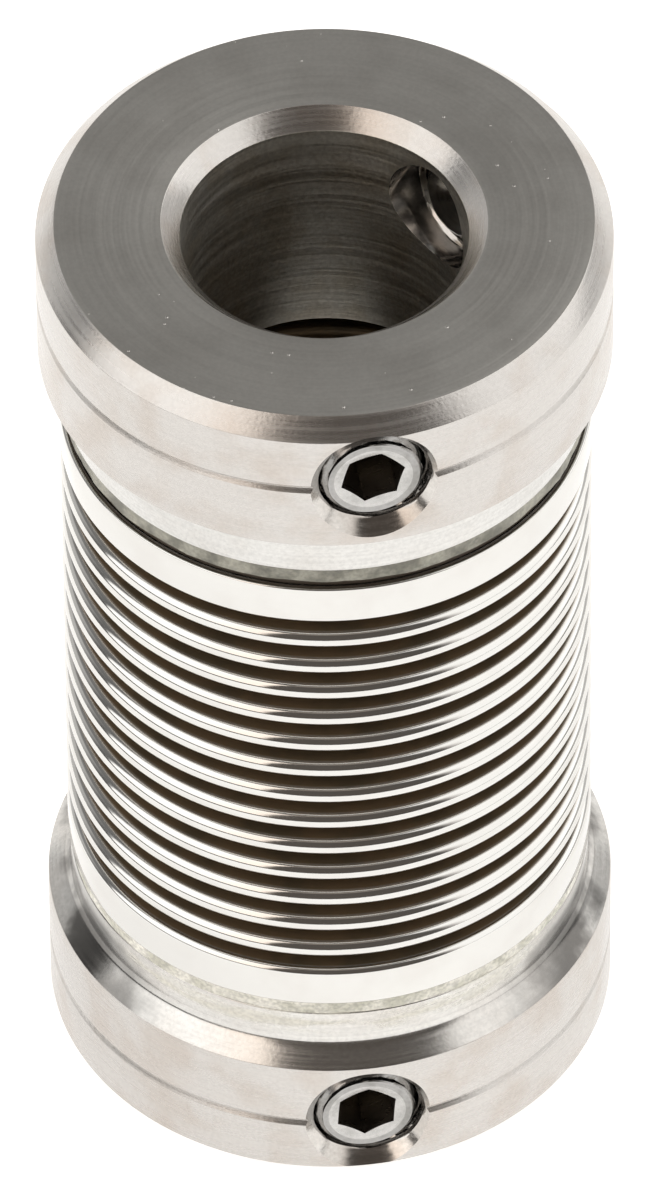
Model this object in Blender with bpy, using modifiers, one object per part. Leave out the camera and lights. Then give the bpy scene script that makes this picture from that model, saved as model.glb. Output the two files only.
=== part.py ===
"""Metal bellows shaft coupling, modelled as the assembly it is.

Two identical turned hubs face away from each other. A thin-walled bellows joins them: each of its
smooth end cuffs slides over a hub's spigot and is bonded there, with a ring of adhesive squeezed out
between the cuff and the hub's neck. Two socket set screws in each hub clamp a 10 mm shaft.

The bellows flexes at its roots, so it is cut there into rigid rings, one for each convolution, which
leave a small gap for the tilt and the stretch of each root.

The shaft axis is Z and the lower hub stands on z = 0. Every size below is in millimetres.
"""

import math

import bmesh
import bpy
from mathutils import Matrix

MM = 0.001

# Whole coupling
LENGTH = 38.4
STEPS_HUB = 36
STEPS_RING = 24
SHARP_ANGLE = math.radians(35)

# Hub, measured from its end face
HUB_RADIUS = 10.0
HUB_LENGTH = 10.0
BORE_RADIUS = 5.0
BORE_CHAMFER = 0.65
FACE_CHAMFER_IN = 0.65
FACE_CHAMFER_DOWN = 0.7
RIM_END = 5.75
CONE_IN = 0.58
CONE_END = 6.33
NECK_RADIUS = 9.2
NECK_START = 6.81
NECK_END = 7.87
SPIGOT_RADIUS = 9.0

# Set screws, M4 by 4
SCREW_DEPTH = 3.0
SCREW_SPACING_DEG = 120.0
SCREW_RADIUS = 1.8
SCREW_OUTER_END = 9.6
SCREW_LENGTH = 3.95
SCREW_CHAMFER = 0.25
CUP_RADIUS = 1.1
CUP_DEPTH = 0.5
CUP_TIP_RADIUS = 0.05
SOCKET_ACROSS_FLATS = 2.0
SOCKET_DEPTH = 2.0
SOCKET_TURN_DEG = 12.0
HOLE_CLEARANCE = 0.06
SINK_RADIUS = 2.47
SCREW_SIDES = 24
CUT_MARGIN = 1.0

# Bellows
CONVOLUTIONS = 13
PITCH = 1.32
CREST_RADIUS = 9.28
FOLD_RADIUS = PITCH / 4
ROOT_RADIUS = 7.4
WALL = 0.1
ROOT_GAP = 0.18
FIRST_CREST = 11.11
CUFF_WALL = 0.25
CUFF_CORNER = 0.25
LOWER_CUFF_EDGE = 8.46
UPPER_CUFF_EDGE = 8.75

# Adhesive ring, on the spigot between the neck and the cuff
ADHESIVE_CLEARANCE = 0.03
ADHESIVE_WALL = 0.1
ADHESIVE_TO_CUFF = 0.15

LOWER_AZIMUTH_DEG = 7.5
UPPER_AZIMUTH_DEG = 9.7

FIRST_ROOT = FIRST_CREST - PITCH / 2
LAST_ROOT = FIRST_ROOT + CONVOLUTIONS * PITCH
CREST_CENTRE = CREST_RADIUS - FOLD_RADIUS
ROOT_CENTRE = ROOT_RADIUS + FOLD_RADIUS

STAINLESS = ("turned_stainless", (0.62, 0.61, 0.59), 0.32)
BELLOWS_METAL = ("bright_bellows", (0.80, 0.78, 0.74), 0.10)
SCREW_STEEL = ("screw_steel", (0.42, 0.41, 0.40), 0.25)
ADHESIVE = ("cured_adhesive", (0.34, 0.34, 0.29), 0.75)


def clear_scene():
    for obj in list(bpy.data.objects):
        bpy.data.objects.remove(obj)


def new_collection(name):
    collection = bpy.data.collections.new(name)
    bpy.context.scene.collection.children.link(collection)
    return collection


def material_for(node, look):
    """Each node has a material of its own, so that one can be changed without the others."""
    label, colour, roughness = look
    material = bpy.data.materials.new(f"{label}_{node}")
    material.use_nodes = True
    shader = material.node_tree.nodes["Principled BSDF"]
    shader.inputs["Base Color"].default_value = (*colour, 1.0)
    shader.inputs["Roughness"].default_value = roughness
    shader.inputs["Metallic"].default_value = 0.0 if label == ADHESIVE[0] else 1.0
    return material


def arc(centre_r, centre_z, radius, start_deg, end_deg, segments):
    """Points (radius, height) along an arc, in degrees counted from straight outwards."""
    angles = [math.radians(start_deg + (end_deg - start_deg) * i / segments) for i in range(segments + 1)]
    return [(centre_r + radius * math.cos(a), centre_z + radius * math.sin(a)) for a in angles]


def turned_mesh(name, outline, steps):
    """The closed outline (radius, height), which runs down its outer side, turned about Z."""
    outline_mesh = bpy.data.meshes.new(name + "_outline")
    points = [(r * MM, 0.0, z * MM) for r, z in outline]
    edges = [(i, (i + 1) % len(points)) for i in range(len(points))]
    outline_mesh.from_pydata(points, edges, [])
    turned = bpy.data.objects.new(name + "_outline", outline_mesh)
    bpy.context.scene.collection.objects.link(turned)
    screw = turned.modifiers.new("Turn", "SCREW")
    screw.steps = steps
    screw.render_steps = steps
    mesh = bpy.data.meshes.new_from_object(turned.evaluated_get(bpy.context.evaluated_depsgraph_get()))
    mesh.name = name
    bpy.data.objects.remove(turned)
    bpy.data.meshes.remove(outline_mesh)
    mesh.shade_smooth()
    mesh.set_sharp_from_angle(angle=SHARP_ANGLE)
    return mesh


def add_node(name, mesh, look, parent, collection, place):
    node = bpy.data.objects.new(name, mesh)
    mesh.materials.clear()
    mesh.materials.append(material_for(name, look))
    collection.objects.link(node)
    node.parent = parent
    node.matrix_basis = place
    return node


def add_empty(name, parent, collection, place):
    empty = bpy.data.objects.new(name, None)
    empty.empty_display_size = 2 * MM
    collection.objects.link(empty)
    empty.parent = parent
    empty.matrix_basis = place
    return empty


def hub_outline():
    """The end face is at height 0 and the spigot points down."""
    return [
        (BORE_RADIUS + BORE_CHAMFER, 0),
        (HUB_RADIUS - FACE_CHAMFER_IN, 0),
        (HUB_RADIUS, -FACE_CHAMFER_DOWN),
        (HUB_RADIUS, -RIM_END),
        (HUB_RADIUS - CONE_IN, -CONE_END),
        (NECK_RADIUS, -NECK_START),
        (NECK_RADIUS, -NECK_END),
        (SPIGOT_RADIUS, -NECK_END),
        (SPIGOT_RADIUS, -HUB_LENGTH),
        (BORE_RADIUS, -HUB_LENGTH),
        (BORE_RADIUS, -BORE_CHAMFER),
    ]


def cuff_outline(edge, root):
    """From the cuff's free edge, round its corner and in along a flank to half of the first root."""
    flank = FOLD_RADIUS - root
    inner_radius = CREST_RADIUS - CUFF_WALL
    corner = arc(CREST_RADIUS - CUFF_CORNER, flank + CUFF_CORNER, CUFF_CORNER, 0, -90, 2)
    return [
        (CREST_RADIUS, -edge),
        *corner,
        *root_arc(-root, FOLD_RADIUS, 1),
        *reversed(root_arc(-root, FOLD_RADIUS + WALL, 1)),
        (inner_radius, flank + WALL),
        (inner_radius, -edge),
    ]


def root_arc(root_z, radius, side):
    """From a flank to the gap at the middle of a root. side is 1 above the root and -1 below it."""
    end_deg = 180 - math.degrees(math.asin(ROOT_GAP / 2 / radius))
    return arc(ROOT_CENTRE, root_z, radius, 90 * side, end_deg * side, 1)


def convolution_outline():
    """One crest and half of the root on each side of it. Height 0 is the root below the crest."""
    crest = PITCH / 2
    return [
        *reversed(root_arc(PITCH, FOLD_RADIUS, -1)),
        *arc(CREST_CENTRE, crest, FOLD_RADIUS, 90, -90, 4),
        *root_arc(0, FOLD_RADIUS, 1),
        *reversed(root_arc(0, FOLD_RADIUS + WALL, 1)),
        *arc(CREST_CENTRE, crest, FOLD_RADIUS - WALL, -90, 90, 2),
        *root_arc(PITCH, FOLD_RADIUS + WALL, -1),
    ]


def adhesive_outline(cuff_edge):
    inner = SPIGOT_RADIUS + ADHESIVE_CLEARANCE
    top = -NECK_END - ADHESIVE_CLEARANCE
    bottom = ADHESIVE_TO_CUFF - cuff_edge
    return [(inner, top), (inner + ADHESIVE_WALL, top), (inner + ADHESIVE_WALL, bottom), (inner, bottom)]


def set_screw_mesh(name):
    """Height 0 is the end with the socket, and the cup point is at the bottom."""
    half = SCREW_LENGTH / 2
    mesh = bpy.data.meshes.new(name)
    shape = bmesh.new()
    bmesh.ops.create_cone(
        shape,
        cap_ends=True,
        segments=SCREW_SIDES,
        radius1=SCREW_RADIUS * MM,
        radius2=SCREW_RADIUS * MM,
        depth=SCREW_LENGTH * MM,
        matrix=Matrix.Translation((0, 0, -half * MM)),
    )
    rims = [edge for edge in shape.edges if abs(edge.verts[0].co.z - edge.verts[1].co.z) < MM / 1000]
    bmesh.ops.bevel(shape, geom=rims, offset=SCREW_CHAMFER * MM, segments=1, affect="EDGES")
    shape.to_mesh(mesh)
    shape.free()
    mesh.shade_smooth()
    mesh.set_sharp_from_angle(angle=SHARP_ANGLE)
    return mesh


def add_cutter(name, parent, collection, place, sides, radius_low, radius_high, low, high):
    """A hidden cone or cylinder along its own Z, from height low to height high."""
    mesh = bpy.data.meshes.new(name)
    shape = bmesh.new()
    bmesh.ops.create_cone(
        shape,
        cap_ends=True,
        segments=sides,
        radius1=radius_low * MM,
        radius2=radius_high * MM,
        depth=(high - low) * MM,
        matrix=Matrix.Translation((0, 0, (low + high) / 2 * MM)),
    )
    shape.to_mesh(mesh)
    shape.free()
    mesh.shade_smooth()
    cutter = bpy.data.objects.new(name, mesh)
    collection.objects.link(cutter)
    cutter.parent = parent
    cutter.matrix_basis = place
    cutter.hide_render = True
    cutter.display_type = "WIRE"
    return cutter


def cut(node, cutter):
    boolean = node.modifiers.new(cutter.name, "BOOLEAN")
    boolean.operation = "DIFFERENCE"
    boolean.solver = "EXACT"
    boolean.object = cutter


def screw_place(azimuth_deg, radius):
    """A frame whose Z points straight out of the hub, at this azimuth from the front, which is -Y."""
    turn = Matrix.Rotation(math.radians(azimuth_deg), 4, "Z")
    lean = Matrix.Rotation(math.radians(90), 4, "X")
    raise_out = Matrix.Translation((0, 0, radius * MM))
    return Matrix.Translation((0, 0, -SCREW_DEPTH * MM)) @ turn @ lean @ raise_out


def cut_screw_hole(hub, label, face, cutters, azimuth_deg):
    hole = SCREW_RADIUS + HOLE_CLEARANCE
    place = screw_place(azimuth_deg, 0)
    low = BORE_RADIUS - 2 * CUT_MARGIN
    high = HUB_RADIUS + CUT_MARGIN
    drill = add_cutter(label + "_drill", face, cutters, place, SCREW_SIDES, hole, hole, low, high)
    # A countersink of 90 degrees widens as fast as it rises. Its cutter starts inside the drilled hole.
    narrow = hole / 2
    bottom = HUB_RADIUS - (SINK_RADIUS - narrow)
    wide = narrow + high - bottom
    sink = add_cutter(label + "_sink", face, cutters, place, SCREW_SIDES, narrow, wide, bottom, high)
    cut(hub, drill)
    cut(hub, sink)


def add_set_screw(name, face, parts, cutters, azimuth_deg):
    place = screw_place(azimuth_deg, SCREW_OUTER_END)
    screw = add_node(name, set_screw_mesh(name), SCREW_STEEL, face, parts, place)
    corner = SOCKET_ACROSS_FLATS / 2 / math.cos(math.pi / 6)
    hex_place = place @ Matrix.Rotation(math.radians(SOCKET_TURN_DEG), 4, "Z")
    deep = -SOCKET_DEPTH
    socket = add_cutter(name + "_socket", face, cutters, hex_place, 6, corner, corner, deep, CUT_MARGIN)
    # The cup's cone starts as far outside the point as it ends inside it, so it is twice as wide there.
    low = -SCREW_LENGTH - CUP_DEPTH
    high = -SCREW_LENGTH + CUP_DEPTH
    wide = 2 * CUP_RADIUS
    cup = add_cutter(name + "_cup", face, cutters, place, SCREW_SIDES, wide, CUP_TIP_RADIUS, low, high)
    cut(screw, socket)
    cut(screw, cup)


def build_end(label, face, parts, cutters, azimuths, cuff_edge, root):
    """A hub with its screws, adhesive and cuff. face is the frame of its end face, with Z outwards."""
    here = Matrix.Identity(4)
    body = turned_mesh(label + "_hub", hub_outline(), STEPS_HUB)
    hub = add_node(label + "_hub", body, STAINLESS, face, parts, here)
    for letter, azimuth in zip("ab", azimuths):
        cut_screw_hole(hub, f"{label}_hole_{letter}", face, cutters, azimuth)
        add_set_screw(f"{label}_set_screw_{letter}", face, parts, cutters, azimuth)
    ring = turned_mesh(label + "_adhesive_ring", adhesive_outline(cuff_edge), STEPS_HUB)
    add_node(label + "_adhesive_ring", ring, ADHESIVE, face, parts, here)
    cuff = turned_mesh(label + "_cuff", cuff_outline(cuff_edge, root), STEPS_HUB)
    add_node(label + "_cuff", cuff, BELLOWS_METAL, face, parts, here)


def build_convolutions(parts):
    for index in range(CONVOLUTIONS):
        name = f"convolution_{index + 1:02d}"
        ring = turned_mesh(name, convolution_outline(), STEPS_RING)
        place = Matrix.Translation((0, 0, (FIRST_ROOT + index * PITCH) * MM))
        add_node(name, ring, BELLOWS_METAL, None, parts, place)


def main():
    clear_scene()
    bpy.context.scene.unit_settings.scale_length = 1.0
    parts = new_collection("bellows_coupling")
    cutters = new_collection("cutters")
    cutters.hide_render = True

    # The lower hub is the upper one turned end over end, so its azimuths run the other way round.
    turned_over = Matrix.Rotation(math.pi, 4, "X")
    lower_face = add_empty("lower_face", None, parts, turned_over)
    lower_azimuths = [180 - LOWER_AZIMUTH_DEG, 180 - LOWER_AZIMUTH_DEG - SCREW_SPACING_DEG]
    build_end("lower", lower_face, parts, cutters, lower_azimuths, LOWER_CUFF_EDGE, FIRST_ROOT)

    build_convolutions(parts)

    # The upper end tilts about the last root, so the empty there carries it.
    upper_pivot = add_empty("upper_pivot", None, parts, Matrix.Translation((0, 0, LAST_ROOT * MM)))
    face_place = Matrix.Translation((0, 0, (LENGTH - LAST_ROOT) * MM))
    upper_face = add_empty("upper_face", upper_pivot, parts, face_place)
    upper_azimuths = [UPPER_AZIMUTH_DEG, UPPER_AZIMUTH_DEG + SCREW_SPACING_DEG]
    build_end("upper", upper_face, parts, cutters, upper_azimuths, UPPER_CUFF_EDGE, LENGTH - LAST_ROOT)


main()
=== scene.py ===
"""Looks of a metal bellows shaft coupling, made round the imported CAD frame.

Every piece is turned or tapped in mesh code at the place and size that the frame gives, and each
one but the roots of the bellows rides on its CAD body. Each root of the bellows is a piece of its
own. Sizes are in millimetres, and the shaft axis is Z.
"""

import math

import bmesh
import bpy
from mathutils import Matrix, Vector, noise


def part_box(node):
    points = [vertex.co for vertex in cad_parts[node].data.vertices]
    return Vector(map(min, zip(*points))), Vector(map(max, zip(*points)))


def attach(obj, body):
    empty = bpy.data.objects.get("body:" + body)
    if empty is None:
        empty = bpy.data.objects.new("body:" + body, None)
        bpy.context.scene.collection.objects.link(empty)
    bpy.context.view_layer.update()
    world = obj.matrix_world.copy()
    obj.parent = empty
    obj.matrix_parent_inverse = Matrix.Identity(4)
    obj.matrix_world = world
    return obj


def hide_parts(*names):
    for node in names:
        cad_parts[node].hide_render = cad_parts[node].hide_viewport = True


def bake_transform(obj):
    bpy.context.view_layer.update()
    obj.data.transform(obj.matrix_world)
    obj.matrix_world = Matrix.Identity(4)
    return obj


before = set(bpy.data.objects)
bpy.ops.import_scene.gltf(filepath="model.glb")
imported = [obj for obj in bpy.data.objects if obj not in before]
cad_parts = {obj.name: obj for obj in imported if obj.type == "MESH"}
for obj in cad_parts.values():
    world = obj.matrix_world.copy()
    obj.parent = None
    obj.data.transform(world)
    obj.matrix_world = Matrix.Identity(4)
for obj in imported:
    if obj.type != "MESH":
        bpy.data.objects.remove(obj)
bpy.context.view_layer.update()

MM = 0.001
STEPS_ROUND = 192
STEPS_FOLD = 160
ARC_STEPS_PER_MM = 24
SHARP_ANGLE = math.radians(32)
MERGE_WITHIN = MM / 10000
EDGE = 0.05

# Hub, measured from its end face
HUB_RADIUS = 10.0
BORE_CHAMFER = 0.65
FACE_CHAMFER_IN = 0.65
FACE_CHAMFER_DOWN = 0.7
LINE_AT = 3.0
LINE_HALF_WIDTH = 0.18
LINE_CUT = 0.13
LINE_EDGE = 0.03
RIM_END = 5.75
NECK_RADIUS = 9.2
NECK_START = 6.45
SHOULDER_IN = 0.57
SHOULDER_UP = 0.45
NECK_FILLET = 0.55
NECK_END = 7.87
SPIGOT_RADIUS = 9.0
BORE_RADIUS = 5.0

# Tapped holes and set screws, M4 by 4
THREAD_PITCH = 0.7
THREAD_STEPS = 96
THREAD_ROWS_PER_TURN = 16
HOLE_RADIUS = 1.9
THREAD_START = 5.9
HOLE_THREAD_DEPTH = 0.17
SINK_RADIUS = 2.47
BORE_SIDE_SINK = 2.0
PLAIN_HOLE_SHARE = 0.6
CUT_MARGIN = 0.6
INNER_CUT_MARGIN = 1.0
SCREW_RADIUS = 1.8
SCREW_THREAD_DEPTH = 0.22
SCREW_OUTER_END = 9.6
SCREW_LENGTH = 3.95
FACE_RING_RADIUS = 1.62
POINT_RADIUS = 1.2
CUP_RADIUS = 1.08
CUP_DEPTH = 0.55
CUP_TIP_RADIUS = 0.04
SOCKET_ACROSS_FLATS = 2.0
SOCKET_DEPTH = 2.0
SOCKET_POINT = 0.4
SOCKET_TIP_RADIUS = 0.02
SOCKET_CHAMFER_RADIUS = 1.34
SOCKET_CHAMFER_DEPTH = 0.12
MOUTH_EDGE_DEPTH = 0.05
MOUTH_EDGE_WIDTH = 0.04
MOUTH_TIP_RADIUS = 0.3
SOCKET_TURNS_DEG = {
    "upper_set_screw_a": 15,
    "upper_set_screw_b": 40,
    "lower_set_screw_a": 26,
    "lower_set_screw_b": 5,
}

# Bellows
WALL = 0.1
CUFF_WALL = 0.25
CUFF_CORNER = 0.25
CUFF_LIP = 0.06
ROOT_RADIUS = 7.4
CONVOLUTIONS = 13
ARC_SHORT = 0.001  # keeps the two arcs of a fold from meeting in one point

# Beads of adhesive
BEAD_INSIDE = 0.02
BEAD_TUCK = 0.04
BEAD_FILM = 0.03
BEAD_EDGE = 0.03
BEAD_GAP = 0.26
BEAD_STEP = 0.08
BEAD_LUMP = 0.05
FILLED_LUMP = 0.025
LUMP_SIZE = 0.9
FINE_LUMP_SIZE = 0.3
FINE_LUMP_SHARE = 0.5

# Turned metal
NOISE_RANGE = (0.3, 0.7)  # where most of a noise's values lie
PATCH_EDGES = (0.42, 0.68)
PATCH_DETAIL = 4.0
GRAIN_SIZE = 0.14
SPECK_CELL = 0.6
SPECK_REACH = 0.13
QUARTER_TURN = 0.25

# The film of adhesive, and the painted shade that darkens the lower neck at its left and right.
# Sides are distances from the YZ plane, and the film's front is a distance in front of the shaft
# axis.
FILM_COLOUR = (0.72, 0.70, 0.62)
FILM_HEIGHTS = (6.75, 7.2)
FILM_COVER = 0.8
FILM_FRONT = (4.5, 7.0)
FILM_SMEAR_SPACING = 0.5
FILM_SMEAR_LENGTH = 3.0
FILM_SMEAR_EDGES = (0.38, 0.62)
FILM_MOTTLE = (0.85, 1.15)
FILM_ROUGHNESS = 0.3
# Painted shade: how dark the lower neck is made at its left and right, and where.
SIDE_SHADE = 0.9
SIDE_SHADE_COLOUR = (0.10, 0.095, 0.09)
SIDE_SHADE_SIDES = (5.4, 8.5)
SIDE_SHADE_FAR_SIDES = (8.8, 9.6)
SIDE_SHADE_FAR_SHARE = 0.15
SIDE_SHADE_FADE_UP = 0.5
SIDE_SHADE_TOP_SHARE = 0.4
BLOTCH_SIZE = 1.6
BLOTCH_DETAIL = 3.0
BLOTCH_REACH = 2.5

# Bellows metal. Each pair of colours is mixed in patches.
BELLOWS_BRIGHT = ((0.695, 0.69, 0.672), (0.67, 0.66, 0.64))
# The brown pair is a stain together with painted shade, and covers the flanks and roots below the
# crests.
BELLOWS_STAIN_AND_SHADE = ((0.23, 0.165, 0.10), (0.16, 0.125, 0.08))
BELLOWS_CREST_RADII = (8.92, 9.12)
BELLOWS_PATCH_SIZE = 1.8
BELLOWS_PATCH_DETAIL = 3.0
BELLOWS_PATCH_EDGES = (0.4, 0.7)
BELLOWS_MARK_SPACING = 0.25
BELLOWS_MARK_LENGTH = 9.0
BELLOWS_MARK_DEPTH = 1.2
BELLOWS_DENT_SIZE = 1.1
BELLOWS_DENT_DEPTH = 4.0
BELLOWS_POLISH = (0.06, 0.12)
GROOVE_METALLIC = 0.5
GROOVE_ROUGHNESS = 0.3

# Adhesive
# Painted shade for the adhesive that lies deep in the gap, below these radii
ADHESIVE_GAP_SHADE = (0.06, 0.045, 0.032)
ADHESIVE_GAP_SHADE_RADII = (9.04, 9.09)
ADHESIVE_COARSE_SIZE = 0.9
ADHESIVE_COARSE_DETAIL = 4.0
ADHESIVE_COARSE_EDGES = (0.35, 0.65)
ADHESIVE_COARSE_DEPTH = 14.0
ADHESIVE_FINE_SIZE = 0.16
ADHESIVE_FINE_DETAIL = 3.0
ADHESIVE_FINE_DEPTH = 10.0
ADHESIVE_MOTTLE = (0.8, 1.2)
ADHESIVE_ROUGHNESS = (0.35, 0.6)

# Camera and floor, in metres
CAMERA_DISTANCE = 0.7795
CAMERA_TARGET = (0.000089, 0.0, 0.019353)
CAMERA_CLIP = (0.01, 20)
CAMERA_LENS = 665.66
SENSOR = 36.0
CAMERA_ELEVATION_DEG = 46.613
CAMERA_ROLL_DEG = -0.4744
FLOOR_RADIUS = 3.0
FLOOR_SIDES = 64
FLOOR_DROP = 0.00003
FLOOR_COLOUR = (0.85, 0.85, 0.84)
FLOOR_ROUGHNESS = 0.9
FLOOR_GLOW = (1.0, 0.99, 0.975)
FLOOR_GLOW_STRENGTH = 0.70

# Studio. Azimuth is 0 in front, which is -Y, and 90 towards +X. A side is an azimuth without its
# sign. Angles are in degrees, and a lean is y over z.
ROOM_SIDES = (80.0, 150.0)
ROOM_LIGHT = (0.12, 0.30)
GLOW_ELEVATIONS = (-90.0, 6.0)
GLOW_SOFT = 4.0
GLOW_SIDES = (100.0, 120.0)
GLOW_LIGHT = 0.2
LOW_SIDES = (118.0, 150.0)
LOW_SIDES_SOFT = 22.0
LOW_ELEVATIONS = (8.0, 26.0)
LOW_ELEVATIONS_SOFT = 12.0
LOW_LIGHT = 0.4
LEAST_RISE = 0.03
LEFT_LIGHT = {"azimuths": (-125.0, -26.0), "elevations": (12.0, 66.0), "soft": 4.0, "strength": 1.5}
LEFT_EDGE = (0.1, 0.26)
RIGHT_LIGHT = {"azimuths": (54.0, 146.0), "elevations": (8.0, 64.0), "soft": 12.0, "strength": 1.25}
RIGHT_EDGE = (1.0, 1.6)
TOP_LIGHT = {"azimuths": (-24.0, 54.0), "elevations": (68.0, 80.0), "soft": 4.0, "strength": 0.2}
FRONT_SIDES = (25.0, 60.0)
PLAIN_TINT = (1.0, 0.985, 0.96)
FRONT_TINT = (1.0, 0.88, 0.78)


# ---------------------------------------------------------------- nodes

class Graph:
    """Short calls that add nodes to one material's or world's tree."""

    def __init__(self, tree):
        self.tree = tree
        tree.nodes.clear()

    def add(self, kind, feeds=None, **settings):
        node = self.tree.nodes.new("ShaderNode" + kind)
        for key, value in settings.items():
            setattr(node, key, value)
        for key, value in (feeds or {}).items():
            self.feed(node.inputs[key], value)
        return node

    def feed(self, socket, value):
        if isinstance(value, bpy.types.NodeSocket):
            self.tree.links.new(value, socket)
        else:
            socket.default_value = value

    def math(self, operation, first, second=0.0):
        return self.add("Math", {0: first, 1: second}, operation=operation).outputs[0]

    def plus(self, first, second):
        return self.math("ADD", first, second)

    def times(self, first, second):
        return self.math("MULTIPLY", first, second)

    def ramp(self, value, low, high, at_low=0.0, at_high=1.0):
        feeds = {0: value, 1: low, 2: high, 3: at_low, 4: at_high}
        return self.add("MapRange", feeds, interpolation_type="SMOOTHSTEP").outputs[0]

    def span(self, length, ends, at_low=0.0, at_high=1.0):
        """A ramp of a length between two lengths in millimetres."""
        return self.ramp(length, ends[0] * MM, ends[1] * MM, at_low, at_high)

    def window(self, value, low, high, soft):
        """1 between low and high, fading to 0 over soft on each side."""
        rise = self.ramp(value, low - soft, low)
        fall = self.ramp(value, high, high + soft, 1.0, 0.0)
        return self.times(rise, fall)

    def noise_ramp(self, value, at_low, at_high):
        return self.ramp(value, *NOISE_RANGE, at_low, at_high)

    def mix(self, share, first, second):
        node = self.add("Mix", {0: share, 6: first, 7: second}, data_type="RGBA")
        return node.outputs[2]

    def scale(self, colour, by):
        node = self.add("VectorMath", {0: colour, 3: by}, operation="SCALE")
        return node.outputs[0]


def rgba(colour):
    return (*colour, 1.0)


def turned_position(graph):
    """(position, radius from the shaft axis, height) of the shaded point on its piece."""
    position = graph.add("TexCoord").outputs["Object"]
    split = graph.add("SeparateXYZ", {0: position})
    flat = graph.add("CombineXYZ", {0: split.outputs[0], 1: split.outputs[1]}).outputs[0]
    radius = graph.add("VectorMath", {0: flat}, operation="LENGTH").outputs[1]
    return position, radius, split.outputs[2]


def bump(graph, height):
    """The normal of a surface with this height in micrometres."""
    feeds = {"Height": height, "Distance": MM / 1000, "Strength": 1.0}
    return graph.add("Bump", feeds).outputs[0]


def turning_marks(graph, position, radius, spacing, length):
    """Noise drawn out round the axis. It changes over spacing in a section, and length around."""
    across = 1 / (spacing * MM)
    along = 1 / (length * MM)
    stretched = graph.add("Mapping", {0: position, 3: (along, along, across)}).outputs[0]
    inward = graph.times(radius, across)
    feeds = {"Vector": stretched, "W": inward, "Scale": 1.0, "Detail": 3.0}
    return graph.add("TexNoise", feeds, noise_dimensions="4D").outputs[0]


def spots(graph, position, size, detail=2.0):
    feeds = {"Vector": position, "Scale": 1 / (size * MM), "Detail": detail}
    return graph.add("TexNoise", feeds).outputs[0]


def principled(material, graph, feeds):
    shader = graph.add("BsdfPrincipled", feeds)
    output = graph.add("OutputMaterial")
    graph.tree.links.new(shader.outputs[0], output.inputs[0])
    return material


def new_graph(name):
    material = bpy.data.materials.new(name)
    material.use_nodes = True
    return material, Graph(material.node_tree)


def speck_dots(graph, position):
    """1 in the middle of small round specks of different sizes, and 0 between them."""
    cells = graph.add("TexVoronoi", {"Vector": position, "Scale": 1 / (SPECK_CELL * MM)})
    size = graph.add("SeparateColor", {0: cells.outputs["Color"]}).outputs[0]
    reach = graph.times(size, SPECK_REACH)
    return graph.math("SUBTRACT", 1.0, graph.ramp(cells.outputs["Distance"], 0.0, reach))


def side_shaded(graph, position, height_up, colours):
    """The colours, darkened at the left and right with an uneven edge, as painted shade."""
    sideways = graph.math("ABSOLUTE", graph.add("SeparateXYZ", {0: position}).outputs[0])
    uneven = graph.math("SUBTRACT", spots(graph, position, BLOTCH_SIZE, BLOTCH_DETAIL), 0.5)
    sideways = graph.plus(sideways, graph.times(uneven, BLOTCH_REACH * MM))
    shaded = graph.span(sideways, SIDE_SHADE_SIDES, 0.0, SIDE_SHADE)
    far = graph.span(sideways, SIDE_SHADE_FAR_SIDES, 1.0, SIDE_SHADE_FAR_SHARE)
    shaded = graph.times(shaded, far)
    top = (FILM_HEIGHTS[1], FILM_HEIGHTS[1] + SIDE_SHADE_FADE_UP)
    shaded = graph.times(shaded, graph.span(height_up, top, 1.0, SIDE_SHADE_TOP_SHARE))
    return graph.mix(shaded, colours, rgba(SIDE_SHADE_COLOUR))


def film_cover(graph, position, radius, height_up):
    """How much of the metal the film hides: more towards the cuff, at the front, and in streaks."""
    smears = turning_marks(graph, position, radius, FILM_SMEAR_SPACING, FILM_SMEAR_LENGTH)
    forward = graph.times(graph.add("SeparateXYZ", {0: position}).outputs[1], -1.0)
    front = graph.span(forward, FILM_FRONT, 0.0, FILM_COVER)
    cover = graph.times(graph.span(height_up, FILM_HEIGHTS), front)
    return graph.times(cover, graph.ramp(smears, *FILM_SMEAR_EDGES))


def metal(name, colour, stain, roughness, mark_depth, grain_depth=0.0, spacing=0.12, length=6.0,
          patch=2.5, anisotropy=0.0, specks=0.0, light=0.05, film_and_side_shade=False):
    """Bare turned metal. roughness is a pair, and the depths are in micrometres.

    When asked for, the metal has a film of adhesive over its front, and is darkened at its left and
    right as painted shade.
    """
    material, graph = new_graph(name)
    position, radius, height_up = turned_position(graph)
    marks = turning_marks(graph, position, radius, spacing, length)
    patches = graph.ramp(spots(graph, position, patch, PATCH_DETAIL), *PATCH_EDGES)
    grain = spots(graph, position, GRAIN_SIZE)
    colours = graph.mix(patches, rgba(colour), rgba(stain))
    mark_shade = graph.noise_ramp(marks, 1 - light, 1 + light)
    shade = graph.plus(mark_shade, graph.noise_ramp(grain, -light, light))
    colours = graph.scale(colours, shade)
    height = graph.plus(graph.times(marks, mark_depth), graph.times(grain, grain_depth))
    if specks:
        height = graph.plus(height, graph.times(speck_dots(graph, position), specks))
    feeds = {
        "Base Color": colours,
        "Metallic": 1.0,
        "Roughness": graph.noise_ramp(marks, *roughness),
        "Normal": bump(graph, height),
    }
    if film_and_side_shade:
        # Painted shade at the left and right of the lower neck
        colours = side_shaded(graph, position, height_up, colours)
        cover = film_cover(graph, position, radius, height_up)
        film = graph.scale(FILM_COLOUR, graph.noise_ramp(grain, *FILM_MOTTLE))
        feeds["Base Color"] = graph.mix(cover, colours, film)
        feeds["Metallic"] = graph.math("SUBTRACT", 1.0, cover)
        feeds["Roughness"] = graph.plus(feeds["Roughness"], graph.times(cover, FILM_ROUGHNESS))
    if anisotropy:
        feeds |= {
            "Anisotropic": anisotropy,
            "Anisotropic Rotation": QUARTER_TURN,
            "Tangent": graph.add("Tangent", direction_type="RADIAL", axis="Z").outputs[0],
        }
    return principled(material, graph, feeds)


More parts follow.
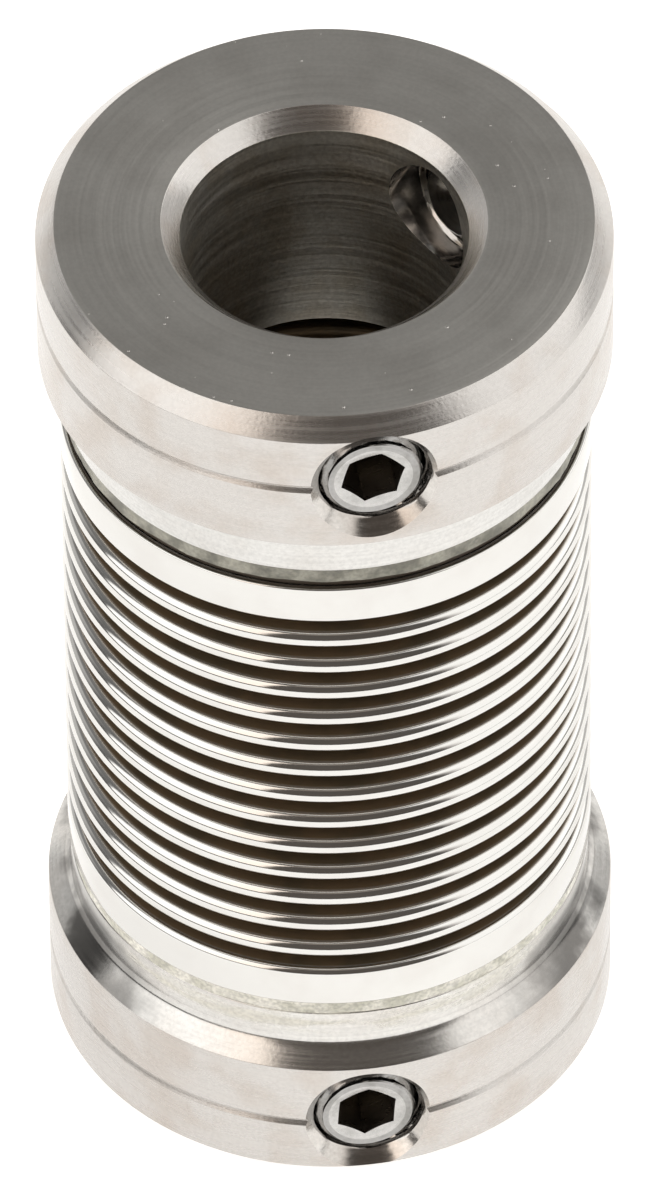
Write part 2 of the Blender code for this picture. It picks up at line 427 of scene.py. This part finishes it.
def bellows_metal():
    """Bright formed metal, dull brown from the crests' shoulders down: a brown stain, with painted
    shade for the grooves between the crests.
    """
    material, graph = new_graph("bellows_metal")
    position, radius, _ = turned_position(graph)
    # 1 on the crests, and 0 on the flanks and roots, which take the brown of stain and painted
    # shade
    crest_share = graph.span(radius, BELLOWS_CREST_RADII)
    patches = spots(graph, position, BELLOWS_PATCH_SIZE, BELLOWS_PATCH_DETAIL)
    patches = graph.ramp(patches, *BELLOWS_PATCH_EDGES)
    bright = graph.mix(patches, *map(rgba, BELLOWS_BRIGHT))
    stain_and_shade = graph.mix(patches, *map(rgba, BELLOWS_STAIN_AND_SHADE))
    marks = turning_marks(graph, position, radius, BELLOWS_MARK_SPACING, BELLOWS_MARK_LENGTH)
    dents = graph.times(spots(graph, position, BELLOWS_DENT_SIZE), BELLOWS_DENT_DEPTH)
    height = graph.plus(graph.times(marks, BELLOWS_MARK_DEPTH), dents)
    polish = graph.noise_ramp(marks, *BELLOWS_POLISH)
    feeds = {
        "Base Color": graph.mix(crest_share, stain_and_shade, bright),
        "Metallic": graph.ramp(crest_share, 0.0, 1.0, GROOVE_METALLIC, 1.0),
        "Roughness": graph.plus(polish, graph.ramp(crest_share, 0.0, 1.0, GROOVE_ROUGHNESS, 0.0)),
        "Normal": bump(graph, height),
    }
    return principled(material, graph, feeds)


def adhesive_material(name, dark, pale):
    """Cured adhesive, mottled, and painted dark as shade where it lies deep in the gap."""
    material, graph = new_graph(name)
    position, radius, _ = turned_position(graph)
    coarse = spots(graph, position, ADHESIVE_COARSE_SIZE, ADHESIVE_COARSE_DETAIL)
    coarse = graph.ramp(coarse, *ADHESIVE_COARSE_EDGES)
    fine = spots(graph, position, ADHESIVE_FINE_SIZE, ADHESIVE_FINE_DETAIL)
    colours = graph.mix(coarse, rgba(dark), rgba(pale))
    colours = graph.scale(colours, graph.noise_ramp(fine, *ADHESIVE_MOTTLE))
    # Below these radii the adhesive is painted dark, as shade deep in the gap.
    raised_part = graph.span(radius, ADHESIVE_GAP_SHADE_RADII)
    colours = graph.mix(raised_part, rgba(ADHESIVE_GAP_SHADE), colours)
    lumps = graph.times(coarse, ADHESIVE_COARSE_DEPTH)
    height = graph.plus(lumps, graph.times(fine, ADHESIVE_FINE_DEPTH))
    feeds = {
        "Base Color": colours,
        "Roughness": graph.noise_ramp(fine, *ADHESIVE_ROUGHNESS),
        "Normal": bump(graph, height),
    }
    return principled(material, graph, feeds)


# ---------------------------------------------------------------- meshes

def rounded(corners):
    """The closed outline through these corners, each (radius, height, rounding), with its arcs."""
    points = []
    for index, (r, z, rounding) in enumerate(corners):
        here = Vector((r, z))
        if not rounding:
            points.append(here)
            continue
        before = (Vector(corners[index - 1][:2]) - here).normalized()
        after = (Vector(corners[(index + 1) % len(corners)][:2]) - here).normalized()
        half = before.angle(after) / 2
        centre = here + (before + after).normalized() * rounding / math.sin(half)
        start = here + before * rounding / math.tan(half) - centre
        end = here + after * rounding / math.tan(half) - centre
        sweep = start.angle(end)
        steps = max(3, round(rounding * ARC_STEPS_PER_MM * sweep / (math.pi / 2)))
        for step in range(steps + 1):
            gone = sweep * step / steps
            reach = start * math.sin(sweep - gone) + end * math.sin(gone)
            points.append(centre + reach / math.sin(sweep))
    return points


def flipped(corners, height):
    """The outline turned end over end, so that height 0 comes to this height."""
    return [(r, height - z, rounding) for r, z, rounding in corners]


def raised(corners, height):
    return [(r, height + z, rounding) for r, z, rounding in corners]


def finish_mesh(name, shape, materials):
    mesh = bpy.data.meshes.new(name)
    bmesh.ops.recalc_face_normals(shape, faces=shape.faces)
    shape.to_mesh(mesh)
    shape.free()
    mesh.shade_smooth()
    mesh.set_sharp_from_angle(angle=SHARP_ANGLE)
    for material in materials:
        mesh.materials.append(material)
    piece = bpy.data.objects.new(name, mesh)
    bpy.context.scene.collection.objects.link(piece)
    return piece


def turned(name, corners, materials, zone=None, steps=STEPS_ROUND):
    """The closed outline turned about Z. zone tells a face's material by its radius and height."""
    outline = rounded(corners)
    shape = bmesh.new()
    loop = [shape.verts.new((r * MM, 0, z * MM)) for r, z in outline]
    edges = [shape.edges.new((loop[index - 1], loop[index])) for index in range(len(loop))]
    turn = {"axis": (0, 0, 1), "cent": (0, 0, 0), "angle": math.tau}
    bmesh.ops.spin(shape, geom=loop + edges, steps=steps, **turn)
    bmesh.ops.remove_doubles(shape, verts=shape.verts, dist=MERGE_WITHIN)
    if zone:
        for face in shape.faces:
            centre = face.calc_center_median() / MM
            face.material_index = zone(centre.xy.length, centre.z)
    return finish_mesh(name, shape, materials)


def thread_wave(angle, height):
    """0 in a quarter of a thread's pitch and 1 in another, with sloping flanks between them."""
    phase = (height / THREAD_PITCH - angle / math.tau) % 1
    return min(1.0, max(0.0, 1.5 - 4 * abs(phase - 0.5)))


def on_circle(radius, angle, height):
    return (radius * math.cos(angle) * MM, radius * math.sin(angle) * MM, height * MM)


def join_rings(shape, rings):
    """Side walls between the rings, one above the other, and a flat cap at each end."""
    for lower, upper in zip(rings, rings[1:]):
        for index in range(len(lower)):
            corners = (lower[index - 1], lower[index], upper[index], upper[index - 1])
            shape.faces.new(corners)
    shape.faces.new(rings[0])
    shape.faces.new(rings[-1])


def helical(name, low, high, radius_at, materials):
    """A closed round body along Z whose radius depends on the angle and the height."""
    rows = math.ceil((high - low) / THREAD_PITCH * THREAD_ROWS_PER_TURN)
    shape = bmesh.new()
    rings = []
    for row in range(rows + 1):
        height = low + (high - low) * row / rows
        ring = []
        for step in range(THREAD_STEPS):
            angle = math.tau * step / THREAD_STEPS
            point = on_circle(radius_at(angle, height), angle, height)
            ring.append(shape.verts.new(point))
        rings.append(ring)
    join_rings(shape, rings)
    return finish_mesh(name, shape, materials)


def stack(name, rings, sides, turn_deg, material):
    """A closed body of flat rings, each (radius, height), joined one above the other."""
    angles = [math.radians(turn_deg) + math.tau * side / sides for side in range(sides)]
    shape = bmesh.new()
    made = []
    for radius, height in rings:
        points = [on_circle(radius, angle, height) for angle in angles]
        made.append([shape.verts.new(point) for point in points])
    join_rings(shape, made)
    return finish_mesh(name, shape, [material])


def carve(piece, cutters):
    """Cuts these bodies out of the piece, whose new faces take the cutters' materials."""
    for cutter in cutters:
        boolean = piece.modifiers.new(cutter.name, "BOOLEAN")
        boolean.operation = "DIFFERENCE"
        boolean.solver = "EXACT"
        boolean.material_mode = "TRANSFER"
        boolean.object = cutter
    bpy.context.view_layer.update()
    evaluated = piece.evaluated_get(bpy.context.evaluated_depsgraph_get())
    carved = bpy.data.meshes.new_from_object(evaluated)
    piece.modifiers.clear()
    piece.data = carved
    carved.name = piece.name
    carved.shade_smooth()
    carved.set_sharp_from_angle(angle=SHARP_ANGLE)
    for cutter in cutters:
        bpy.data.objects.remove(cutter)


def place_piece(piece, body, node):
    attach(piece, body)
    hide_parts(node)


# ---------------------------------------------------------------- hubs and screws

def hub_corners(radius, length):
    """The end face is at height 0, and the spigot points down."""
    return [
        (BORE_RADIUS + BORE_CHAMFER, 0, EDGE),
        (radius - FACE_CHAMFER_IN, 0, EDGE),
        (radius, -FACE_CHAMFER_DOWN, EDGE),
        (radius, LINE_HALF_WIDTH - LINE_AT, LINE_EDGE),
        (radius - LINE_CUT, -LINE_AT, LINE_EDGE),
        (radius, -LINE_HALF_WIDTH - LINE_AT, LINE_EDGE),
        (radius, -RIM_END, EDGE),
        (radius - SHOULDER_IN, -RIM_END - SHOULDER_UP, 0),
        (NECK_RADIUS, -NECK_START, NECK_FILLET),
        (NECK_RADIUS, -NECK_END, EDGE),
        (SPIGOT_RADIUS, -NECK_END, 0),
        (SPIGOT_RADIUS, -length, EDGE),
        (BORE_RADIUS, -length, EDGE),
        (BORE_RADIUS, -BORE_CHAMFER, EDGE),
    ]


def screw_frame(name):
    """A frame at the shaft axis whose Z runs out along the set screw and whose Y is up."""
    low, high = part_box(name)
    centre = (low + high) / 2
    turn = Matrix.Rotation(math.atan2(centre.x, -centre.y), 4, "Z")
    return Matrix.Translation((0, 0, centre.z)) @ turn @ Matrix.Rotation(math.pi / 2, 4, "X")


def hole_radius(angle, height):
    """A tapped hole from the bore out to the rim, countersunk at the rim and a little at the bore.

    It is plain next to the bore, up to THREAD_START.
    """
    depth_share = thread_wave(angle, height) if THREAD_START < height else PLAIN_HOLE_SHARE
    tapped = HOLE_RADIUS + HOLE_THREAD_DEPTH * depth_share
    sink = SINK_RADIUS - (HUB_RADIUS - height)
    inner_sink = BORE_SIDE_SINK - max(0.0, height - BORE_RADIUS)
    return max(tapped, sink, inner_sink)


def tapped_hole(name, material):
    start = BORE_RADIUS - INNER_CUT_MARGIN
    hole = helical(name + "_hole", start, HUB_RADIUS + CUT_MARGIN, hole_radius, [material])
    hole.matrix_world = screw_frame(name)
    return hole


def screw_radius(angle, height):
    """Height 0 is the end with the socket, and the cup point is at the bottom."""
    threaded = SCREW_RADIUS - SCREW_THREAD_DEPTH * thread_wave(angle, height)
    face_chamfer = FACE_RING_RADIUS - height
    point_chamfer = POINT_RADIUS + (height + SCREW_LENGTH)
    return min(threaded, face_chamfer, point_chamfer)


def set_screw(name, looks):
    screw = helical(name + "_piece", -SCREW_LENGTH, 0.0, screw_radius, [looks["screw"]])
    flat = SOCKET_ACROSS_FLATS / 2
    corner = flat / math.cos(math.pi / 6)
    socket_rings = [
        (SOCKET_TIP_RADIUS, -SOCKET_DEPTH - SOCKET_POINT),
        (corner, -SOCKET_DEPTH),
        (corner, CUT_MARGIN),
    ]
    socket = stack(name + "_socket", socket_rings, 6, SOCKET_TURNS_DEG[name], looks["socket"])
    slope = (SOCKET_CHAMFER_RADIUS - flat) / SOCKET_CHAMFER_DEPTH
    mouth_rings = [
        (MOUTH_TIP_RADIUS, -SOCKET_CHAMFER_DEPTH - (flat - MOUTH_TIP_RADIUS) / slope),
        (SOCKET_CHAMFER_RADIUS - slope * MOUTH_EDGE_DEPTH, -MOUTH_EDGE_DEPTH),
        (SOCKET_CHAMFER_RADIUS + MOUTH_EDGE_WIDTH, 0),
        (SOCKET_CHAMFER_RADIUS + MOUTH_EDGE_WIDTH, CUT_MARGIN),
    ]
    mouth = stack(name + "_mouth", mouth_rings, THREAD_STEPS, 0, looks["mouth"])
    cup_rings = [
        (2 * CUP_RADIUS, -SCREW_LENGTH - CUP_DEPTH),
        (CUP_TIP_RADIUS, -SCREW_LENGTH + CUP_DEPTH),
    ]
    cup = stack(name + "_cup", cup_rings, THREAD_STEPS, 0, looks["screw"])
    carve(screw, [mouth, socket, cup])
    outer_end = Matrix.Translation((0, 0, SCREW_OUTER_END * MM))
    screw.matrix_world = screw_frame(name) @ outer_end
    place_piece(screw, name, name)


def hub_zone(face_height):
    """0 on the turned outside, 1 on the shoulder and neck, 2 in the bore and 3 on the end face."""
    def zone(radius, height):
        depth = abs(height - face_height)
        if radius < BORE_RADIUS + EDGE and depth > BORE_CHAMFER - EDGE:
            return 2
        if depth > RIM_END + EDGE:
            return 1
        on_chamfers = radius > HUB_RADIUS - FACE_CHAMFER_IN or radius < BORE_RADIUS + BORE_CHAMFER
        return 0 if depth > EDGE or on_chamfers else 3
    return zone


def build_hub(end, looks):
    node = end + "_hub"
    low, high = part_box(node)
    radius = high.x / MM
    corners = hub_corners(radius, (high.z - low.z) / MM)
    face_height = (high.z if end == "upper" else low.z) / MM
    turn = raised if end == "upper" else flipped
    corners = turn(corners, face_height)
    materials = [looks["turned"], looks[end + "_neck"], looks["bore"], looks["face"]]
    hub = turned(node + "_turned", corners, materials, hub_zone(face_height))
    holes = [tapped_hole(f"{end}_set_screw_{letter}", looks["tapped"]) for letter in "ab"]
    carve(hub, holes)
    place_piece(hub, end + "_end", node)


# ---------------------------------------------------------------- bellows and adhesive

def fold_sizes():
    """(crest radius, pitch, first crest's height, fold radius), read from the frame."""
    first_low, first_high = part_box("convolution_01")
    second_low, second_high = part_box("convolution_02")
    first = (first_low.z + first_high.z) / 2 / MM
    pitch = (second_low.z + second_high.z) / 2 / MM - first
    return first_high.x / MM, pitch, first, pitch / 4


def build_bellows(looks):
    """A ring for each crest, and a root between each two neighbouring bodies."""
    crest_radius, pitch, first, fold = fold_sizes()
    middle = (crest_radius + ROOT_RADIUS) / 2
    names = [f"convolution_{index + 1:02d}" for index in range(CONVOLUTIONS)]
    crest_corners = [
        (middle, fold, 0),
        (crest_radius, fold, fold - ARC_SHORT),
        (crest_radius, -fold, fold - ARC_SHORT),
        (middle, -fold, 0),
        (middle, WALL - fold, 0),
        (crest_radius - WALL, WALL - fold, fold - WALL - ARC_SHORT),
        (crest_radius - WALL, fold - WALL, fold - WALL - ARC_SHORT),
        (middle, fold - WALL, 0),
    ]
    root_corners = [
        (middle, -fold, 0),
        (ROOT_RADIUS, -fold, fold - ARC_SHORT),
        (ROOT_RADIUS, fold, fold - ARC_SHORT),
        (middle, fold, 0),
        (middle, fold + WALL, 0),
        (ROOT_RADIUS - WALL, fold + WALL, fold + WALL - ARC_SHORT),
        (ROOT_RADIUS - WALL, -fold - WALL, fold + WALL - ARC_SHORT),
        (middle, -fold - WALL, 0),
    ]
    for index, name in enumerate(names):
        corners = raised(crest_corners, first + index * pitch)
        crest = turned(f"crest_{index + 1:02d}", corners, [looks["bellows"]], steps=STEPS_FOLD)
        place_piece(crest, name, name)
    bodies = ["lower_end", *names, "upper_end"]
    for index, (below, above) in enumerate(zip(bodies, bodies[1:])):
        height = first + (index - 0.5) * pitch
        corners = raised(root_corners, height)
        root = turned(f"root_{index + 1:02d}", corners, [looks["bellows"]], steps=STEPS_FOLD)
        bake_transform(root)


def build_cuff(end, looks):
    """The bellows' smooth end, from its last flank to its open edge."""
    crest_radius, pitch, first, fold = fold_sizes()
    middle = (crest_radius + ROOT_RADIUS) / 2
    node = end + "_cuff"
    low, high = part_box(node)
    if end == "lower":
        edge = low.z / MM
        flank = first - pitch / 2 - fold
    else:
        edge = high.z / MM
        flank = first + (CONVOLUTIONS - 0.5) * pitch + fold
    height = abs(flank - edge)
    corners = [
        (crest_radius, -height, CUFF_LIP),
        (crest_radius, 0, CUFF_CORNER),
        (middle, 0, 0),
        (middle, -WALL, 0),
        (crest_radius - CUFF_WALL, -WALL, 0),
        (crest_radius - CUFF_WALL, -height, CUFF_LIP),
    ]
    corners = raised(corners, flank) if end == "lower" else flipped(corners, flank)
    cuff = turned(node + "_shell", corners, [looks["bellows"]])
    place_piece(cuff, end + "_end", node)


def build_adhesive(end, looks):
    """A bead squeezed out between the neck and the cuff, uneven all the way round.

    The upper bead stops short of the cuff and leaves a gap, whose thin film is painted dark as
    shade, and the lower one fills it.
    """
    node = end + "_adhesive_ring"
    low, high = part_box(node)
    cuff_low, cuff_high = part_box(end + "_cuff")
    inside = SPIGOT_RADIUS - BEAD_INSIDE
    if end == "lower":
        top = cuff_low.z / MM
        bottom = low.z / MM - BEAD_TUCK
        corners = [
            (inside, top, 0),
            (inside, bottom, 0),
            (NECK_RADIUS - BEAD_EDGE, bottom, BEAD_EDGE),
            (NECK_RADIUS, top, BEAD_EDGE),
        ]
    else:
        gap_end = cuff_high.z / MM
        bottom = gap_end + BEAD_GAP
        top = high.z / MM + BEAD_TUCK
        corners = [
            (inside, top, 0),
            (inside, gap_end, 0),
            (inside + BEAD_FILM, gap_end, 0),
            (inside + BEAD_FILM, bottom, 0),
            (high.x / MM, bottom, BEAD_EDGE),
            (high.x / MM, top, BEAD_EDGE),
        ]
    bead = turned(end + "_adhesive_bead", finely(corners), [looks[end + "_adhesive"]])
    reach = FILLED_LUMP if end == "lower" else BEAD_LUMP
    for vertex in bead.data.vertices:
        out = Vector((vertex.co.x, vertex.co.y, 0))
        if out.length > (SPIGOT_RADIUS + BEAD_INSIDE) * MM:
            fine_lump = FINE_LUMP_SHARE * noise.noise(vertex.co / (FINE_LUMP_SIZE * MM))
            lump = noise.noise(vertex.co / (LUMP_SIZE * MM)) + fine_lump
            vertex.co += out.normalized() * lump * reach * MM
    place_piece(bead, end + "_end", node)


def finely(corners):
    """The corners with the long straight runs between them divided, so that they can be uneven."""
    points = []
    for index, (r, z, rounding) in enumerate(corners):
        last_r, last_z, _ = corners[index - 1]
        pieces = max(1, round(abs(z - last_z) / BEAD_STEP))
        for piece in range(1, pieces):
            share = piece / pieces
            points.append((last_r + (r - last_r) * share, last_z + (z - last_z) * share, 0))
        points.append((r, z, rounding))
    return points


# ---------------------------------------------------------------- stage

def build_camera():
    camera = bpy.data.objects.new("camera", bpy.data.cameras.new("camera"))
    camera.data.lens = CAMERA_LENS
    camera.data.sensor_width = SENSOR
    camera.data.clip_start, camera.data.clip_end = CAMERA_CLIP
    tilt = Matrix.Rotation(math.radians(90 - CAMERA_ELEVATION_DEG), 4, "X")
    roll = Matrix.Rotation(math.radians(CAMERA_ROLL_DEG), 4, "Z")
    back = Matrix.Translation((0, 0, CAMERA_DISTANCE))
    camera.matrix_world = Matrix.Translation(CAMERA_TARGET) @ tilt @ roll @ back
    bpy.context.scene.collection.objects.link(camera)
    bpy.context.scene.camera = camera


def build_floor():
    shape = bmesh.new()
    bmesh.ops.create_circle(shape, cap_ends=True, segments=FLOOR_SIDES, radius=FLOOR_RADIUS)
    mesh = bpy.data.meshes.new("floor")
    shape.to_mesh(mesh)
    shape.free()
    floor = bpy.data.objects.new("floor", mesh)
    floor.location.z = -FLOOR_DROP
    bpy.context.scene.collection.objects.link(floor)
    material, graph = new_graph("floor")
    feeds = {
        "Base Color": rgba(FLOOR_COLOUR),
        "Roughness": FLOOR_ROUGHNESS,
        "Specular IOR Level": 0.0,
        "Emission Color": rgba(FLOOR_GLOW),
        "Emission Strength": FLOOR_GLOW_STRENGTH,
    }
    mesh.materials.append(principled(material, graph, feeds))


def soft_light(graph, azimuth, elevation, azimuths, elevations, soft, strength):
    wide = graph.window(azimuth, *azimuths, soft)
    tall = graph.window(elevation, *elevations, soft)
    return graph.times(graph.times(wide, tall), strength)


def build_world():
    """A dim room with a wide soft light on each side, a small one overhead and low ones behind.

    Each side light also ends at a line that slopes back from the camera's side.
    """
    world = bpy.data.worlds.new("studio")
    world.use_nodes = True
    bpy.context.scene.world = world
    graph = Graph(world.node_tree)
    split = graph.add("SeparateXYZ", {0: graph.add("TexCoord").outputs["Generated"]})
    x, y, z = split.outputs
    elevation = graph.math("DEGREES", graph.math("ARCSINE", z))
    azimuth = graph.math("DEGREES", graph.math("ARCTAN2", x, graph.times(y, -1.0)))
    side = graph.math("ABSOLUTE", azimuth)
    light = graph.ramp(side, *ROOM_SIDES, *ROOM_LIGHT)
    glow = graph.window(elevation, *GLOW_ELEVATIONS, GLOW_SOFT)
    glow = graph.times(glow, graph.ramp(side, *GLOW_SIDES))
    light = graph.plus(light, graph.times(glow, GLOW_LIGHT))
    low = graph.window(side, *LOW_SIDES, LOW_SIDES_SOFT)
    low = graph.times(low, graph.window(elevation, *LOW_ELEVATIONS, LOW_ELEVATIONS_SOFT))
    light = graph.plus(light, graph.times(low, LOW_LIGHT))
    lean = graph.math("DIVIDE", y, graph.math("MAXIMUM", z, LEAST_RISE))
    for settings, edge in ((LEFT_LIGHT, LEFT_EDGE), (RIGHT_LIGHT, RIGHT_EDGE), (TOP_LIGHT, None)):
        share = soft_light(graph, azimuth, elevation, **settings)
        if edge:
            share = graph.times(share, graph.ramp(lean, *edge, 1.0, 0.0))
        light = graph.plus(light, share)
    front = graph.math("SUBTRACT", 1.0, graph.ramp(side, *FRONT_SIDES))
    tint = graph.mix(front, rgba(PLAIN_TINT), rgba(FRONT_TINT))
    background = graph.add("Background", {0: tint, 1: light})
    output = graph.add("OutputWorld")
    graph.tree.links.new(background.outputs[0], output.inputs[0])
    bpy.context.scene.view_settings.view_transform = "Standard"


# ---------------------------------------------------------------- assembly

build_camera()
build_floor()
build_world()

# Each metal has its colour, the colour of its stains, and its least and greatest roughness.
LOOKS = {
    "face": metal(
        "turned_face", (0.585, 0.568, 0.535), (0.53, 0.512, 0.48), (0.28, 0.34), mark_depth=2.5,
        grain_depth=2.0, spacing=0.1, length=10.0, anisotropy=0.35, specks=25.0, light=0.03,
    ),
    "turned": metal(
        "turned_rim", (0.575, 0.555, 0.535), (0.525, 0.485, 0.45), (0.24, 0.32), mark_depth=2.0,
        grain_depth=5.0, anisotropy=0.2, light=0.03,
    ),
    "upper_neck": metal(
        "smooth_neck", (0.635, 0.63, 0.615), (0.60, 0.588, 0.568), (0.14, 0.22), mark_depth=1.5,
        grain_depth=1.5,
    ),
    # The lower neck's film is adhesive; its darkening at the left and right is painted shade.
    "lower_neck": metal(
        "filmed_side_shaded_neck", (0.65, 0.64, 0.62), (0.60, 0.58, 0.555), (0.14, 0.22), mark_depth=1.5,
        grain_depth=1.5, film_and_side_shade=True,
    ),
    "bore": metal(
        "bored_wall", (0.75, 0.73, 0.68), (0.64, 0.595, 0.515), (0.3, 0.42), mark_depth=8.0,
        grain_depth=3.0, spacing=0.12, length=8.0, patch=1.8, anisotropy=0.4, light=0.1,
    ),
    "tapped": metal(
        "tapped_hole", (0.62, 0.60, 0.575), (0.48, 0.45, 0.42), (0.12, 0.2), mark_depth=2.0,
    ),
    "screw": metal(
        "screw_steel", (0.37, 0.365, 0.36), (0.28, 0.275, 0.265), (0.16, 0.26), mark_depth=2.0,
        grain_depth=3.0, patch=1.0,
    ),
    "mouth": metal(
        "screw_mouth", (0.52, 0.515, 0.505), (0.42, 0.415, 0.405), (0.2, 0.3), mark_depth=2.0,
        grain_depth=3.0, patch=1.0,
    ),
    "socket": metal(
        "screw_socket", (0.26, 0.235, 0.20), (0.17, 0.15, 0.13), (0.25, 0.4), mark_depth=2.0,
        grain_depth=2.0,
    ),
    "bellows": bellows_metal(),
    "lower_adhesive": adhesive_material(
        "lower_adhesive", dark=(0.55, 0.54, 0.46), pale=(0.80, 0.78, 0.71)),
    # The same adhesive as the lower bead, painted much darker as shade under the upper hub
    "upper_adhesive": adhesive_material(
        "upper_adhesive", dark=(0.165, 0.16, 0.13), pale=(0.35, 0.34, 0.285)),
}

for END in ("lower", "upper"):
    build_hub(END, LOOKS)
    build_cuff(END, LOOKS)
    build_adhesive(END, LOOKS)
    for LETTER in "ab":
        set_screw(f"{END}_set_screw_{LETTER}", LOOKS)
build_bellows(LOOKS)
